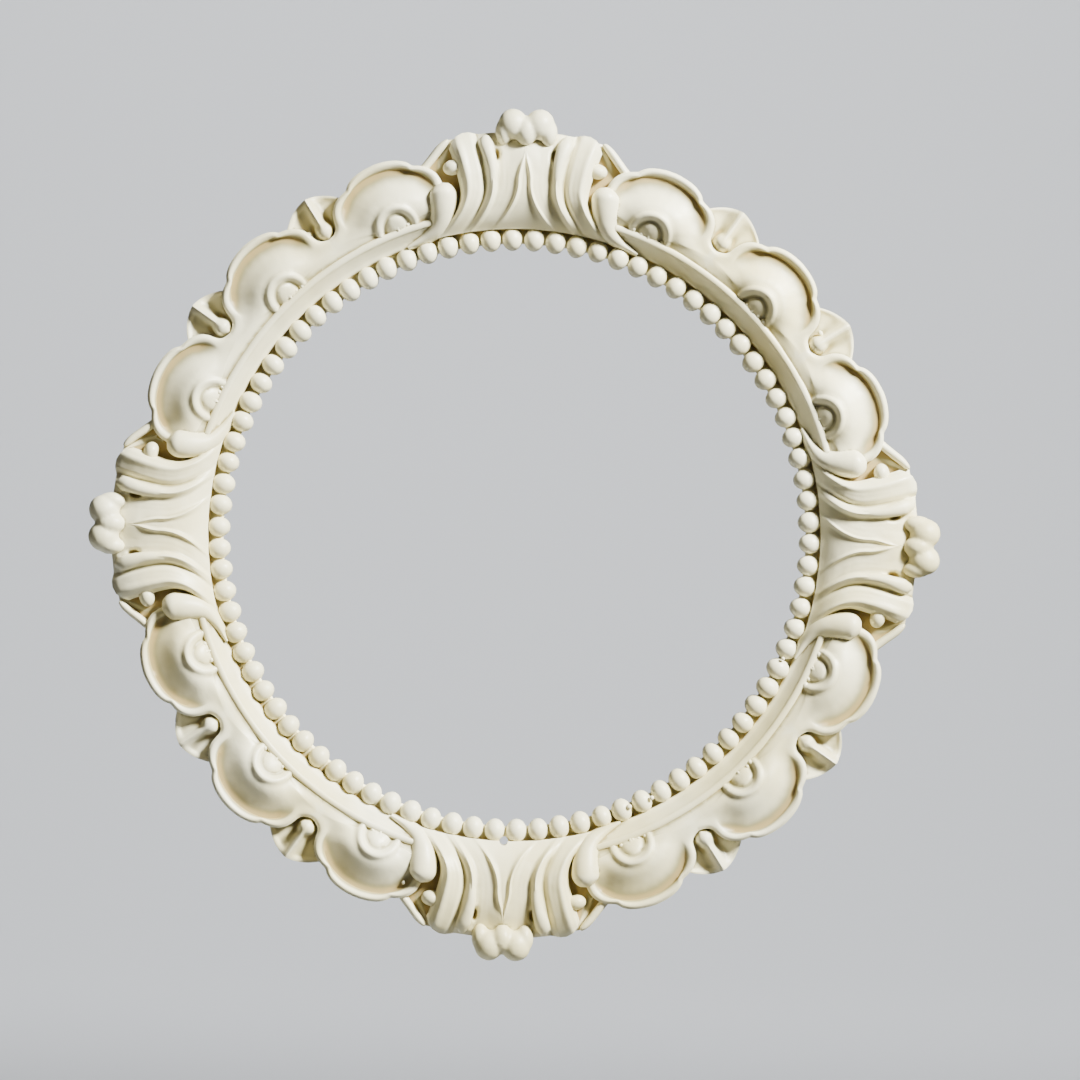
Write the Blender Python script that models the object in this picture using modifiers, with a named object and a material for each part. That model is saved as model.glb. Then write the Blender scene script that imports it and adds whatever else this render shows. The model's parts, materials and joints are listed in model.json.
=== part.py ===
# Circular moulding frame, cast in one piece: a ring of beads, a hollow band and ridge, twelve
# shell lobes with leaves between them, and an acanthus cartouche at the top, sides and bottom.
#
# The frame stands upright with its flat back in the plane Y = 0 and its carving towards -Y.
# Each ornament is shaped on a straight strip first: x runs along the ridge (clockwise as the
# viewer sees it), y runs outwards from the ridge line and z is the height above the back.
# It is then wrapped round the ring.

from math import cos, pi, radians, sin

import bmesh
import bpy
from mathutils import Matrix

MM = 0.001

# Bead ring, which sets the size of the opening
BEAD_COUNT = 86
BEAD_RADIUS = 2.70 * MM
BEAD_SPACE = 0.42 * MM
BEAD_CENTRE_HEIGHT = 2.60 * MM
BEAD_SEGMENTS = 6
BEAD_FULLNESS = 1.04
BEAD_RINGS = 4
BEAD_BAND_GAP = 0.35 * MM
STRIP_HEIGHT = 2.90 * MM
STRIP_INSET = 0.70 * MM

# Hollow band and ridge round the beads
BAND_WIDTH = 4.25 * MM
BAND_FOOT_HEIGHT = 3.90 * MM
BAND_HOLLOW = 0.55 * MM
RIDGE_WIDTH = 1.90 * MM
RIDGE_HEIGHT = 7.40 * MM
RIDGE_ROUNDING = 0.30 * MM
FLOOR_HEIGHT = 6.30 * MM
CREVICE_DEPTH = 0.30 * MM
BEADS_PER_STEP = 2

# Pattern round the ring
CARTOUCHES = 4
LOBES_PER_BAY = 3
WRAP_OFFSET = 5.60 * MM
BACK_OVERCUT = 1.00 * MM
SMALLEST_EDGE = 0.15 * MM
SEAM = 0.01 * MM

# Rim of a lobe: the bulge at its top, the cusp beside it, its flank and the loop round a leaf
BULGE_SHARE = 0.44
BULGE_RISE = 3.10 * MM
CUSP_Y = 13.20 * MM
FLANK_SHARE = 0.325
LOOP_Y = 6.40 * MM
LOOP_DROP = 3.20 * MM
RIM_HALF_WIDTH = 1.20 * MM
RIM_CREST = 8.40 * MM
LOOP_CREST = 7.70 * MM
RIM_EDGE_DROP = 1.00 * MM

# Pillow of a lobe, which bows up between the ridge and the groove inside its rim
GROOVE_HEIGHT = 6.40 * MM
PILLOW_RISE = 4.20 * MM
PILLOW_CREST_SHARE = 0.50

# Eye of a lobe: a half ring round a half boss, both standing on the ridge
EYE_RADIUS = 5.30 * MM
EYE_HALF_WIDTH = 1.20 * MM
EYE_RISE = 1.10 * MM
BOSS_RADIUS = 3.10 * MM
BOSS_RISE = 0.90 * MM
EYE_RECESS = 0.60 * MM

# Leaf between two lobes
LEAF_TIP_Y = 17.00 * MM
LEAF_SHOULDER_Y = 13.40 * MM
LEAF_HALF_SHARE = 0.40
LEAF_EDGE_HEIGHT = 5.20 * MM
LEAF_FACET_HEIGHT = 4.60 * MM
LEAF_RIB_HEIGHT = 6.60 * MM
LEAF_KNOB_RADIUS = 2.00 * MM
LEAF_KNOB_Y = 6.80 * MM
LEAF_KNOB_HEIGHT = 7.60 * MM

# Fan of the cartouche: flutes that spread from the knob down to the beads
FAN_ROWS = 5
FAN_FOOT_HEIGHT = 4.60 * MM
FAN_SETBACK = 0.30 * MM
FAN_CREST = 10.40 * MM
FAN_CREST_Y = 8.00 * MM
FAN_EDGE_HEIGHT = 7.00 * MM
FAN_REACH = 19.80 * MM
RIB_LIFT = 0.85 * MM

# Sides of the cartouche: the wing behind and the side curl, and the knob at the top
WING_HEIGHT = 5.60 * MM
WING_REACH = 17.60 * MM
CURL_REACH = 8.80 * MM
CURL_HALF_WIDTH = 3.30 * MM
CURL_CREST = 11.00 * MM
CURL_FOOT_HEIGHT = 7.80 * MM
KNOB_RADIUS = 3.40 * MM
KNOB_SPREAD = 3.25 * MM
KNOB_Y = 22.30 * MM
KNOB_CREST = 10.60 * MM
SCROLL_RADIUS = 3.50 * MM
SCROLL_Y = 19.20 * MM
SCROLL_CREST = 11.80 * MM

# Small hole left in the casting under the bottom cartouche
HOLE_RADIUS = 1.10 * MM
HOLE_ANGLE = 180.3

# What follows from the sizes above
BEAD_CIRCLE = BEAD_COUNT * (2 * BEAD_RADIUS + BEAD_SPACE) / (2 * pi)
BAND_INNER = BEAD_CIRCLE + BEAD_RADIUS + BEAD_BAND_GAP
RIDGE_LINE = BAND_INNER + BAND_WIDTH + RIDGE_WIDTH
WRAP_RADIUS = RIDGE_LINE + WRAP_OFFSET
BAY_ANGLE = 360 / CARTOUCHES
LOBE_ANGLE = BAY_ANGLE / (LOBES_PER_BAY + 1)
HALF_PITCH = radians(LOBE_ANGLE / 2) * WRAP_RADIUS
BEAD_EDGE_Y = BAND_INNER + FAN_SETBACK - RIDGE_LINE


def clear_scene():
    for obj in list(bpy.data.objects):
        bpy.data.objects.remove(obj, do_unlink=True)


def new_collection(name):
    collection = bpy.data.collections.new(name)
    bpy.context.scene.collection.children.link(collection)
    return collection


def cream_resin():
    material = bpy.data.materials.new("cream_resin")
    material.use_nodes = True
    shader = material.node_tree.nodes["Principled BSDF"]
    shader.inputs["Base Color"].default_value = (0.83, 0.77, 0.62, 1.0)
    shader.inputs["Roughness"].default_value = 0.45
    shader.inputs["Metallic"].default_value = 0.0
    material.diffuse_color = (0.83, 0.77, 0.62, 1.0)
    return material


def across(angle):
    """Distance along the strip for an angle in degrees from an ornament's centre line."""
    return radians(angle) * WRAP_RADIUS


def arc(centre_x, centre_y, half_width, half_height, start, end, steps):
    """Points of an elliptical arc, with its angles in degrees from the x axis."""
    points = []
    for step in range(steps + 1):
        angle = radians(start + (end - start) * step / steps)
        points.append((centre_x + half_width * cos(angle), centre_y + half_height * sin(angle)))
    return points


def outward(points, distance):
    """The line moved to the left of the way it runs. It sets off and arrives level."""
    moved = []
    for i, (x, y) in enumerate(points):
        run_x, run_y = 1, 0
        if 0 < i < len(points) - 1:
            run_x = points[i + 1][0] - points[i - 1][0]
            run_y = points[i + 1][1] - points[i - 1][1]
        length = (run_x**2 + run_y**2) ** 0.5
        moved.append((x - distance * run_y / length, y + distance * run_x / length))
    return moved


def close_below(bm):
    """Drops walls from the open edge of a surface to under the back, and closes the back."""
    edges = [edge for edge in bm.edges if edge.is_boundary]
    dropped = bmesh.ops.extrude_edge_only(bm, edges=edges)["geom"]
    for vert in dropped:
        if isinstance(vert, bmesh.types.BMVert):
            vert.co.z = -BACK_OVERCUT
    rest = [edge for edge in bm.edges if edge.is_boundary]
    bmesh.ops.contextual_create(bm, geom=rest)
    bmesh.ops.recalc_face_normals(bm, faces=bm.faces)


def plate(outline, height):
    """A flat-topped solid from under the back up to a height, with a given outline."""
    bm = bmesh.new()
    bm.faces.new([bm.verts.new((x, y, height)) for x, y in outline])
    close_below(bm)
    return bm


def rib(stations, foot_height):
    """A round-backed rib, solid down to the back, through (x, y, half width, crest) stations."""
    bm = bmesh.new()
    line = [(x, y) for x, y, _, _ in stations]
    rows = []
    for share, drop in ((1.0, 1.0), (0.4, 0.0), (-0.4, 0.0), (-1.0, 1.0)):
        row = []
        for i, (x, y, half_width, crest) in enumerate(stations):
            before, after = line[max(i - 1, 0)], line[min(i + 1, len(line) - 1)]
            run_x, run_y = after[0] - before[0], after[1] - before[1]
            side = share * half_width / (run_x**2 + run_y**2) ** 0.5
            height = crest - drop * max(crest - foot_height, 0.3 * crest)
            row.append(bm.verts.new((x - side * run_y, y + side * run_x, height)))
        rows.append(row)
    for near, far in zip(rows, rows[1:]):
        for i in range(len(stations) - 1):
            bm.faces.new((near[i], near[i + 1], far[i + 1], far[i]))
    close_below(bm)
    return bm


def ball(x, y, crest, half_width, half_depth, bulk, segments, rings):
    """A ball stretched to a half width, half depth and bulk, with its top at the crest height."""
    bm = bmesh.new()
    bmesh.ops.create_uvsphere(bm, u_segments=segments, v_segments=rings, radius=1.0)
    for vert in bm.verts:
        vert.co.x = x + vert.co.x * half_width
        vert.co.y = y + vert.co.y * half_depth
        vert.co.z = crest - bulk + vert.co.z * bulk
    return bm


def post(x, y, crest, radius, segments, rings):
    """A round-topped post that stands on the back."""
    bm = ball(x, y, crest, radius, radius, radius, segments, rings)
    middle = crest - radius
    for vert in bm.verts:
        if vert.co.z < middle - 0.1 * radius:
            side = ((vert.co.x - x) ** 2 + (vert.co.y - y) ** 2) ** 0.5
            if side > 0.1 * radius:
                vert.co.x = x + (vert.co.x - x) * radius / side
                vert.co.y = y + (vert.co.y - y) * radius / side
            vert.co.z = -BACK_OVERCUT
    return bm


def mirrored(bm):
    """The same shape on the other side of the ornament's centre line."""
    other = bm.copy()
    for vert in other.verts:
        vert.co.x = -vert.co.x
    bmesh.ops.reverse_faces(other, faces=other.faces)
    return other


class Carving:
    """Collects wrapped ornaments, one object for each kind."""

    def __init__(self, collection, material):
        self.collection = collection
        self.material = material

    def add(self, name, shapes, angles):
        mesh = bpy.data.meshes.new(name)
        joined = bmesh.new()
        for centre in angles:
            for shape in shapes:
                wrapped = bpy.data.meshes.new("wrapped")
                shape.to_mesh(wrapped)
                for vert in wrapped.vertices:
                    angle = radians(centre) + vert.co.x / WRAP_RADIUS
                    radius = RIDGE_LINE + vert.co.y
                    vert.co = (radius * sin(angle), -vert.co.z, radius * cos(angle))
                joined.from_mesh(wrapped)
                bpy.data.meshes.remove(wrapped)
        joined.to_mesh(mesh)
        joined.free()
        for shape in shapes:
            shape.free()
        mesh.materials.append(self.material)
        obj = bpy.data.objects.new(name, mesh)
        obj.hide_render = True
        obj.display_type = "WIRE"
        self.collection.objects.link(obj)
        return obj


def ring_profile():
    """(radius, height) points of the ring's section, round it from the back of the opening."""
    strip_inner = BEAD_CIRCLE - STRIP_INSET
    band_rise = RIDGE_HEIGHT - BAND_FOOT_HEIGHT
    hollow = BAND_INNER + BAND_WIDTH / 2, BAND_FOOT_HEIGHT + band_rise / 2 - BAND_HOLLOW
    ridge_inner = RIDGE_LINE - RIDGE_WIDTH
    return [
        (strip_inner, -BACK_OVERCUT),
        (strip_inner, STRIP_HEIGHT),
        (BAND_INNER, STRIP_HEIGHT),
        (BAND_INNER, BAND_FOOT_HEIGHT),
        hollow,
        (ridge_inner, RIDGE_HEIGHT),
        (RIDGE_LINE - RIDGE_ROUNDING, RIDGE_HEIGHT),
        (RIDGE_LINE, RIDGE_HEIGHT - RIDGE_ROUNDING),
        (RIDGE_LINE, -BACK_OVERCUT),
    ]


def make_ring(collection, material):
    mesh = bpy.data.meshes.new("moulding_frame")
    points = [(radius, -height, 0.0) for radius, height in ring_profile()]
    edges = [(i, (i + 1) % len(points)) for i in range(len(points))]
    mesh.from_pydata(points, edges, [])
    mesh.materials.append(material)
    ring = bpy.data.objects.new("moulding_frame", mesh)
    collection.objects.link(ring)
    turn = ring.modifiers.new("Turn", "SCREW")
    turn.axis = "Y"
    turn.angle = radians(360)
    turn.steps = turn.render_steps = BEAD_COUNT // BEADS_PER_STEP
    turn.use_merge_vertices = True
    turn.merge_threshold = SEAM
    turn.use_normal_calculate = True
    return ring


def add_beads(carving):
    crest = BEAD_CENTRE_HEIGHT + BEAD_RADIUS
    bead = post(0, BEAD_CIRCLE - RIDGE_LINE, crest, BEAD_RADIUS, BEAD_SEGMENTS, BEAD_RINGS)
    for vert in bead.verts:
        vert.co.x *= WRAP_RADIUS / BEAD_CIRCLE * BEAD_FULLNESS
    carving.add("beads", [bead], [360 * (i + 0.5) / BEAD_COUNT for i in range(BEAD_COUNT)])


def rim_half(bulge_steps, flank_steps, loop_steps):
    """Middle line of a lobe's rim, from the top of the bulge down to the loop's lowest point."""
    cusp_x = BULGE_SHARE * HALF_PITCH
    flank_width = FLANK_SHARE * HALF_PITCH
    loop_width = HALF_PITCH - cusp_x - flank_width
    bulge = arc(0, CUSP_Y, cusp_x, BULGE_RISE, 90, 0, bulge_steps)
    flank = arc(cusp_x, LOOP_Y, flank_width, CUSP_Y - LOOP_Y, 90, 0, flank_steps)
    loop = arc(HALF_PITCH, LOOP_Y, loop_width, LOOP_DROP, 180, 270, loop_steps)
    return bulge + flank[1:] + loop[1:]


def groove_reach(x):
    """How far out the groove inside the rim lies at a distance from the lobe's middle."""
    share = min(abs(x) / HALF_PITCH, 1)
    full = CUSP_Y + BULGE_RISE - 2 * RIM_HALF_WIDTH
    return full * (1 - 0.86 * share**2.6)


def lobe_height(x, y):
    """Height of the bare pillow, which rises from the ridge and falls to the groove."""
    reach = groove_reach(x)
    share = min(max(y / reach, 0), 1)
    rise = PILLOW_RISE * (reach / groove_reach(0)) ** 0.6
    foot = FLOOR_HEIGHT + (GROOVE_HEIGHT - FLOOR_HEIGHT) * share
    return foot + rise * sin(pi * share**0.75)


def rim_height(y):
    """Height of the rim's crest, which is lower in the loops than on the bulge."""
    share = min(max((y - LOOP_Y) / (CUSP_Y - LOOP_Y), 0), 1)
    return LOOP_CREST + (RIM_CREST - LOOP_CREST) * share


def spoke(edge, inner, crest):
    """(x, y, height) points from the middle of the eye out to the rim's edge."""
    length = (inner[0] ** 2 + inner[1] ** 2) ** 0.5
    run = inner[0] / length, inner[1] / length
    points = []
    rises = (
        (0, BOSS_RISE),
        (BOSS_RADIUS, -EYE_RECESS),
        (EYE_RADIUS, EYE_RISE),
        (EYE_RADIUS + EYE_HALF_WIDTH, 0),
    )
    for distance, rise in rises:
        x, y = run[0] * distance, run[1] * distance
        points.append((x, y, lobe_height(x, y) + rise))
    start = EYE_RADIUS + EYE_HALF_WIDTH
    distance = start + (length - start) * PILLOW_CREST_SHARE
    x, y = run[0] * distance, run[1] * distance
    points.append((x, y, lobe_height(x, y)))
    points.append((inner[0], inner[1], min(GROOVE_HEIGHT, lobe_height(inner[0], inner[1]))))
    points.append((crest[0], crest[1], rim_height(crest[1])))
    points.append((edge[0], edge[1], rim_height(edge[1]) - RIM_EDGE_DROP))
    return points


def half_lobe(bulge_steps, flank_steps, loop_steps):
    """Spokes of a lobe from its top down one side to the ridge."""
    crest = rim_half(bulge_steps, flank_steps, loop_steps)
    edge = outward(crest, RIM_HALF_WIDTH)
    inner = outward(crest, -1.15 * RIM_HALF_WIDTH)
    spokes = [spoke(*ends) for ends in zip(edge, inner, crest)]
    corner = HALF_PITCH, 0
    foot = spoke(corner, corner, corner)[:6]
    foot += [foot[-1]] * 2
    return spokes + [foot]


def bay_of_lobes():
    """The lobes of one bay in one solid, each sharing its edge with the next."""
    half = half_lobe(2, 2, 1)
    whole = [[(-x, y, z) for x, y, z in points] for points in reversed(half)] + half[1:]
    sunk = -0.3 * RIDGE_WIDTH
    bm = bmesh.new()
    found = {}

    def corner(x, y, z):
        key = round(x / MM, 3), round(y / MM, 3)
        if key not in found:
            if y < SEAM:
                y, z = sunk, FLOOR_HEIGHT - CREVICE_DEPTH
            found[key] = bm.verts.new((x, y, z))
        return found[key]

    for lobe in range(LOBES_PER_BAY):
        shift = 2 * HALF_PITCH * (lobe - (LOBES_PER_BAY - 1) / 2)
        for left, right in zip(whole, whole[1:]):
            for i in range(len(left) - 1):
                around = []
                for x, y, z in (left[i], left[i + 1], right[i + 1], right[i]):
                    vert = corner(x + shift, y, z)
                    if vert not in around:
                        around.append(vert)
                along = {round(vert.co.x / MM, 3) for vert in around}
                if len(around) > 2 and len(along) > 1:
                    bm.faces.new(around)
    close_below(bm)
    return bm


def leaf():
    """A round-topped leaf: a rib and two hollow facets that narrow to a knob."""
    half = LEAF_HALF_SHARE * HALF_PITCH
    edge = arc(0, LEAF_SHOULDER_Y, half, LEAF_TIP_Y - LEAF_SHOULDER_Y, 0, 180, 4)
    neck = 0.62 * half
    low = LOOP_Y - LOOP_DROP + 0.4 * RIM_HALF_WIDTH
    edge = [(0, low), (neck, LEAF_KNOB_Y - 0.5 * LEAF_KNOB_RADIUS)] + edge
    edge += [(-x, y) for x, y in edge[1:0:-1]]
    bm = bmesh.new()
    top = bm.verts.new((0, LEAF_KNOB_Y, LEAF_KNOB_HEIGHT))
    count = len(edge)
    rings = [[] for _ in range(3)]
    for x, y in edge:
        out = y - LEAF_KNOB_Y
        reach = (x**2 + out**2) ** 0.5
        on_rib = max(0, 1 - abs(x) / (0.25 * half)) if out > 0 else 0
        rib = (LEAF_RIB_HEIGHT - LEAF_FACET_HEIGHT) * on_rib
        knob = min(LEAF_KNOB_RADIUS, 0.9 * reach)
        rows = (
            (0.75 * knob, LEAF_KNOB_HEIGHT - 0.3 * LEAF_KNOB_RADIUS),
            (knob, LEAF_FACET_HEIGHT + rib),
            (reach, LEAF_EDGE_HEIGHT + 0.5 * rib),
        )
        for ring, (distance, height) in zip(rings, rows):
            share = distance / reach
            ring.append(bm.verts.new((x * share, LEAF_KNOB_Y + out * share, height)))
    for i in range(count):
        after = (i + 1) % count
        bm.faces.new((top, rings[0][i], rings[0][after]))
        for near, far in zip(rings, rings[1:]):
            bm.faces.new((near[i], far[i], far[after], near[after]))
    close_below(bm)
    return bm


# Lines of the fan on one side of its middle, from the spear outwards. Each has its angle at the
# top, waist and foot, its reach as a share of the fan's, and its height as a share of a rib's.
FAN_LINES = (
    (0.0, 0.0, 0.0, 1.00, 0.2),
    (0.5, 0.9, 5.8, 1.00, 1.0),
    (1.9, 2.2, 7.0, 1.00, -0.4),
    (3.2, 3.3, 8.0, 1.00, 0.3),
    (4.7, 4.2, 8.8, 0.99, -1.3),
    (6.1, 5.1, 9.8, 0.97, 1.3),
    (7.2, 6.2, 10.9, 0.96, -0.8),
    (8.3, 7.3, 12.0, 1.00, 0.7),
    (9.4, 8.5, 13.3, 1.01, -0.1),
    (10.7, 9.9, 15.0, 1.00, 1.2),
    (12.0, 11.8, 17.0, 0.93, -2.5),
)
FAN_WAIST = 0.5


def fan_arch(y):
    """Height of the fan's surface above the back: it bows up from the beads and falls outwards."""
    if y < FAN_CREST_Y:
        share = (FAN_CREST_Y - y) / (FAN_CREST_Y - BEAD_EDGE_Y)
        return FAN_CREST - (FAN_CREST - FAN_FOOT_HEIGHT) * share**3
    share = (y - FAN_CREST_Y) / (FAN_REACH - FAN_CREST_Y)
    return FAN_CREST - (FAN_CREST - FAN_EDGE_HEIGHT) * share**2


def fan_point(line, share):
    """Point of a fan line, with share 0 at the beads and 1 at its outer end."""
    top, waist, foot, reach, lift = line
    if share > FAN_WAIST:
        angle = waist + (top - waist) * ((share - FAN_WAIST) / (1 - FAN_WAIST)) ** 2
    else:
        angle = waist + (foot - waist) * ((FAN_WAIST - share) / FAN_WAIST) ** 2.2
    y = BEAD_EDGE_Y + (FAN_REACH * reach - BEAD_EDGE_Y) * share
    fade = min(1, 4 * share + 0.15) * (1 if share < 0.85 else 0.7)
    return across(angle), y, fan_arch(y) + RIB_LIFT * lift * fade


def fan():
    lines = [(-line[0], -line[1], -line[2]) + line[3:] for line in reversed(FAN_LINES[1:])]
    lines += FAN_LINES
    bm = bmesh.new()
    bmesh.ops.create_grid(bm, x_segments=len(lines) - 1, y_segments=FAN_ROWS, size=1)
    for vert in bm.verts:
        column = round((vert.co.x + 1) / 2 * (len(lines) - 1))
        vert.co = fan_point(lines[column], (vert.co.y + 1) / 2)
    close_below(bm)
    return bm


# Outline of the wing beside the fan: angles, and distances from the ridge as shares of its reach
WING_OUTLINE = (
    (9.0, 0.85),
    (10.0, -0.06),
    (16.8, -0.06),
    (16.2, 0.23),
    (16.6, 0.51),
    (16.4, 0.68),
    (13.6, 0.83),
    (11.0, 1.00),
)

# Line of the side curl from its round top down to the beads: angles, how far up it is from the
# beads, and its width and height as shares of the curl's own
CURL_LINE = (
    (13.2, 1.00, 0.60, 0.80),
    (13.8, 0.84, 1.00, 1.00),
    (15.2, 0.54, 0.92, 0.95),
    (17.5, 0.26, 0.66, 0.76),
    (20.9, 0.05, 0.30, 0.46),
)


def wing():
    """Plate behind the side of the cartouche, under the pocket beside the curl."""
    outline = [(across(angle), share * WING_REACH) for angle, share in WING_OUTLINE]
    return plate(outline, WING_HEIGHT)


def side_curl():
    stations = []
    for angle, share, width, crest in CURL_LINE:
        y = BEAD_EDGE_Y + share * (CURL_REACH - BEAD_EDGE_Y)
        stations.append((across(angle), y, width * CURL_HALF_WIDTH, crest * CURL_CREST))
    return rib(stations, CURL_FOOT_HEIGHT)


def add_cartouches(carving, angles):
    carving.add("fans", [fan()], angles)
    side = wing()
    carving.add("wings", [mirrored(side), side], angles)
    curl = side_curl()
    carving.add("side_curls", [mirrored(curl), curl], angles)
    knob = post(KNOB_SPREAD, KNOB_Y, KNOB_CREST, KNOB_RADIUS, 7, 4)
    carving.add("knobs_left", [mirrored(knob)], angles)
    carving.add("knobs_right", [knob], angles)
    scroll = post(0, SCROLL_Y, SCROLL_CREST, SCROLL_RADIUS, 8, 4)
    carving.add("scrolls", [scroll], angles)


def cutter(name, bm, collection):
    mesh = bpy.data.meshes.new(name)
    bm.to_mesh(mesh)
    bm.free()
    obj = bpy.data.objects.new(name, mesh)
    obj.hide_render = True
    obj.display_type = "WIRE"
    collection.objects.link(obj)
    return obj


def back_cutter(collection):
    """Slab whose front leaves the back of the frame flat."""
    reach = RIDGE_LINE + KNOB_Y + 2 * KNOB_RADIUS
    bm = bmesh.new()
    bmesh.ops.create_cube(bm, size=1)
    for vert in bm.verts:
        vert.co.x *= 2 * reach
        vert.co.z *= 2 * reach
        vert.co.y = 0 if vert.co.y < 0 else 2 * BACK_OVERCUT
    return cutter("back_cutter", bm, collection)


def hole_cutter(collection):
    """Rod that leaves the small hole between two beads and the bottom cartouche."""
    bm = bmesh.new()
    bmesh.ops.create_cone(
        bm, cap_ends=True, segments=8, radius1=HOLE_RADIUS, radius2=HOLE_RADIUS, depth=4 * FAN_CREST
    )
    angle = radians(HOLE_ANGLE)
    radius = BAND_INNER
    turn = Matrix.Rotation(radians(90), 4, "X")
    bm.transform(Matrix.Translation((radius * sin(angle), 0, radius * cos(angle))) @ turn)
    return cutter("hole_cutter", bm, collection)


def combine(frame, name, operation, other):
    """Adds a Boolean. The fast solver is used because the exact one leaves open seams here."""
    step = frame.modifiers.new(name, "BOOLEAN")
    step.operation = operation
    step.solver = "MANIFOLD"
    if isinstance(other, bpy.types.Collection):
        step.operand_type = "COLLECTION"
        step.collection = other
    else:
        step.object = other


def main():
    clear_scene()
    parts = new_collection("circular_moulding_frame")
    shapes = new_collection("carving_shapes")
    cutters = new_collection("cutters")
    material = cream_resin()

    bays = [BAY_ANGLE * (i + 0.5) for i in range(CARTOUCHES)]
    leaf_angles = []
    for bay in bays:
        for i in range(LOBES_PER_BAY - 1):
            leaf_angles.append(bay + LOBE_ANGLE * (i - (LOBES_PER_BAY - 2) / 2))

    frame = make_ring(parts, material)
    carving = Carving(shapes, material)
    add_beads(carving)
    carving.add("lobes", [bay_of_lobes()], bays)
    carving.add("leaves", [leaf()], leaf_angles)
    add_cartouches(carving, [BAY_ANGLE * i for i in range(CARTOUCHES)])

    combine(frame, "Fuse", "UNION", shapes)
    combine(frame, "FlatBack", "DIFFERENCE", back_cutter(cutters))
    combine(frame, "Hole", "DIFFERENCE", hole_cutter(cutters))
    weld = frame.modifiers.new("MergeClosePoints", "WELD")
    weld.merge_threshold = SMALLEST_EDGE


main()
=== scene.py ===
import json
import math
import random

import bpy
import numpy as np
from mathutils import Matrix, Vector, noise

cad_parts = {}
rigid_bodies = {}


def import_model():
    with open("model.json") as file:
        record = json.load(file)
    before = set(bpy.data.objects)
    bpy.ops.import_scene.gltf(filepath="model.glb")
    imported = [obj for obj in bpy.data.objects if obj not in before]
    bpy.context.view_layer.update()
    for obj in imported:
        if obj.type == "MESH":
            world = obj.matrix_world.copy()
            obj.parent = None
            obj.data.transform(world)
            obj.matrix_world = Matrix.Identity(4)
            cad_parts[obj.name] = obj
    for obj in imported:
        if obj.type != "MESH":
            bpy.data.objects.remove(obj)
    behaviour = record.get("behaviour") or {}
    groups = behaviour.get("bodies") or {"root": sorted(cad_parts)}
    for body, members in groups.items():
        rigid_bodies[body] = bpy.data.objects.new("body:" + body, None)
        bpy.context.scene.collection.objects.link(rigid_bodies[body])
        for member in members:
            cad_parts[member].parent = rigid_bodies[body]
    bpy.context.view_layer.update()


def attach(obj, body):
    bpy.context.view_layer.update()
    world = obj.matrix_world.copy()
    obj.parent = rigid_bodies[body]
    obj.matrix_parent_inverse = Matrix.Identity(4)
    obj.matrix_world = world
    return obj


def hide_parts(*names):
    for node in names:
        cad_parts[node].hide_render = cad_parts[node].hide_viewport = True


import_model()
mm = 0.001

ring = {
    "beadCount": 86,
    "beadRadius": 2.70,
    "beadSpace": 0.42,
    "bandGap": 0.10,  # between the beads and the band
    "bandWidth": 4.50,
    "ridgeWidth": 1.90,
    "wrapOffset": 5.60,  # where the strip keeps its true length, out from the ridge line
    "setBack": 1.0,  # the ridge and the lobes' feet stand this far inside the ridge line
    "steps": 344,
}
beadCircle = ring["beadCount"] * (2 * ring["beadRadius"] + ring["beadSpace"]) / (2 * math.pi)
bandInner = beadCircle + ring["beadRadius"] + ring["bandGap"]
ridgeLine = bandInner + ring["bandWidth"] + ring["ridgeWidth"]
wrapRadius = ridgeLine + ring["wrapOffset"]
lobeSpan = 22.5  # degrees
halfPitch = math.radians(lobeSpan / 2) * wrapRadius
footY = bandInner - ridgeLine  # where the cartouches meet the beads
belowBack = 1.0  # walls run this far past the back before it is cut flat
weld = 0.002  # points nearer than this are one


# Helpers
def clamp(value, low=0.0, high=1.0):
    return max(low, min(high, value))


def mix(a, b, share):
    return a + (b - a) * share


def smooth(low, high, value):
    share = clamp((value - low) / (high - low))
    return share * share * (3 - 2 * share)


# Millimetres along the strip
def along(degrees):
    return math.radians(degrees) * wrapRadius


def deselectAll():
    if bpy.context.mode != "OBJECT":
        bpy.ops.object.mode_set(mode="OBJECT")
    bpy.ops.object.select_all(action="DESELECT")


def pick(*pieces):
    deselectAll()
    for piece in pieces:
        piece.select_set(True)
    bpy.context.view_layer.objects.active = pieces[0]
    return pieces[0]


# A grid bent to place(u, v), with u and v from 0 to 1
def sheet(name, columns, rows, place):
    deselectAll()
    bpy.ops.mesh.primitive_grid_add(x_subdivisions=columns, y_subdivisions=rows, size=1)
    piece = bpy.context.object
    piece.name = name
    for vert in piece.data.vertices:
        vert.co = place(vert.co.x + 0.5, vert.co.y + 0.5)
    return piece


# Walls from the open edge to below the back, which is closed
def standOnBack(piece):
    pick(piece)
    bpy.ops.object.mode_set(mode="EDIT")
    bpy.ops.mesh.select_mode(type="EDGE")
    bpy.ops.mesh.select_all(action="SELECT")
    bpy.ops.mesh.remove_doubles(threshold=weld)
    bpy.ops.mesh.select_all(action="DESELECT")
    bpy.ops.mesh.select_non_manifold(extend=False)
    bpy.ops.mesh.extrude_region_move()
    bpy.ops.transform.resize(value=(1, 1, 0), center_override=(0, 0, -belowBack))
    bpy.ops.mesh.edge_face_add()
    bpy.ops.mesh.select_all(action="SELECT")
    bpy.ops.mesh.normals_make_consistent(inside=False)
    bpy.ops.object.mode_set(mode="OBJECT")
    return piece


def copied(piece):
    other = piece.copy()
    other.data = piece.data.copy()
    bpy.context.scene.collection.objects.link(other)
    return other


def mirrored(piece, name):
    other = copied(piece)
    other.name = name
    other.data.transform(Matrix.Scale(-1, 4, (1, 0, 0)))
    other.data.flip_normals()
    return other


def coordinates(mesh):
    co = np.zeros(len(mesh.vertices) * 3)
    mesh.vertices.foreach_get("co", co)
    return co.reshape(-1, 3)


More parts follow.
